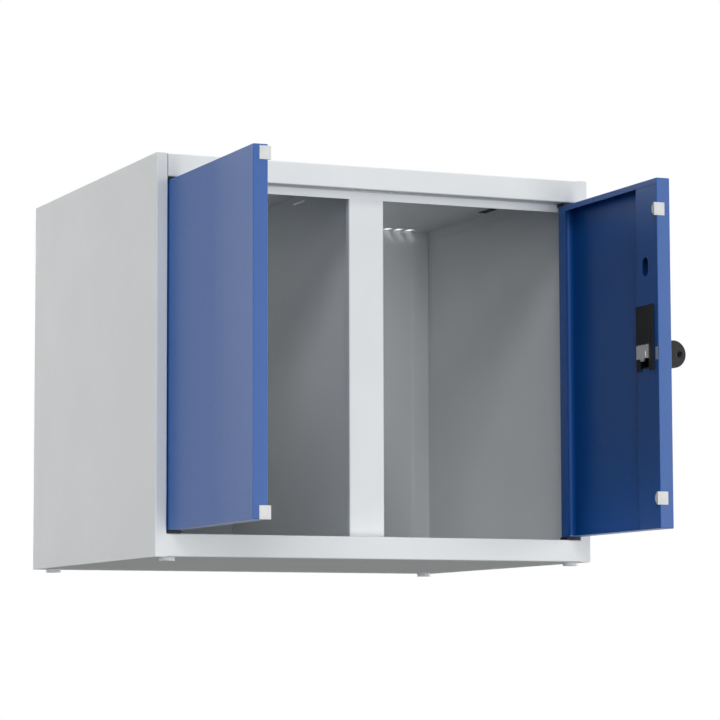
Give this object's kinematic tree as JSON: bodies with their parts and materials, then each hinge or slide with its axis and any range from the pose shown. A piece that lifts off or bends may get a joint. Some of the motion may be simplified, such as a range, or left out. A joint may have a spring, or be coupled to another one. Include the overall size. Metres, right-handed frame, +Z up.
{
  "type": "two-compartment locker box",
  "caption": "Sheet-steel locker box with two side-by-side compartments behind inward-closing blue doors, one of which has a turning knob lock.",
  "frame": {"origin": "centre of the flat underside of the carcass", "axes": "+X along the front to the viewer's right, +Y into the box, +Z up"},
  "size_m": [0.6174, 0.7868, 0.5045],
  "materials": {
    "carcass_paint": "light grey powder coat, satin",
    "door_paint": "deep blue powder coat, satin",
    "black_plastic": "black, fine texture",
    "bumper_plastic": "light grey, smooth",
    "glide_plastic": "milky grey, smooth",
    "bright_bolt": "bright plated die casting",
    "zinc_insert": "zinc plated, dull",
    "pin_steel": "zinc plated"
  },
  "bodies": {
    "carcass": {"left_side_panel": "carcass_paint", "right_side_panel": "carcass_paint", "top_panel": "carcass_paint", "bottom_panel": "carcass_paint", "rear_panel": "carcass_paint", "centre_post": "carcass_paint", "partition": "carcass_paint", "left_slot_plug": "black_plastic", "right_slot_plug": "black_plastic", "foot_front_left": "glide_plastic", "foot_front_right": "glide_plastic", "foot_rear_left": "glide_plastic", "foot_rear_right": "glide_plastic", "left_bottom_bush": "black_plastic", "left_top_bush": "black_plastic", "right_bottom_bush": "black_plastic", "right_top_bush": "black_plastic"},
    "left_door": {"left_door_pan": "door_paint", "left_door_stiffener": "door_paint", "left_top_pivot": "pin_steel", "left_bottom_pivot": "pin_steel", "left_upper_bumper": "bumper_plastic", "left_lower_bumper": "bumper_plastic"},
    "right_door": {"right_door_pan": "door_paint", "right_door_stiffener": "door_paint", "right_top_pivot": "pin_steel", "right_bottom_pivot": "pin_steel", "right_upper_bumper": "bumper_plastic", "right_lower_bumper": "bumper_plastic", "lock_cover": "black_plastic", "lock_case": "black_plastic", "lock_rosette": "black_plastic", "lock_nut": "pin_steel", "edge_insert": "zinc_insert"},
    "knob": {"knob": "black_plastic", "knob_spindle": "pin_steel", "lock_crank": "pin_steel"},
    "latch_bolt": {"latch_bolt": "bright_bolt"}
  },
  "joints": [
    {"name": "left_door_hinge", "type": "hinge", "parent": "carcass", "child": "left_door", "pos_m": [-0.276, -0.242, 0.25], "axis": [0, 0, 1], "range_deg": [-2.5, 90]},
    {"name": "right_door_hinge", "type": "hinge", "parent": "carcass", "child": "right_door", "pos_m": [0.276, -0.242, 0.25], "axis": [0, 0, -1], "range_deg": [-2.5, 90]},
    {"name": "knob_turn", "type": "hinge", "parent": "right_door", "child": "knob", "pos_m": [0.285, -0.467, 0.25], "axis": [-1, 0, 0], "range_deg": [0, 90]},
    {"name": "bolt_slide", "type": "slide", "parent": "right_door", "child": "latch_bolt", "axis": [0, 0, -1], "range_m": [0, 0.008]}
  ],
  "couplings": [
    {"joint": "bolt_slide", "follows": "knob_turn", "m_per_rad": 0.005092}
  ]
}
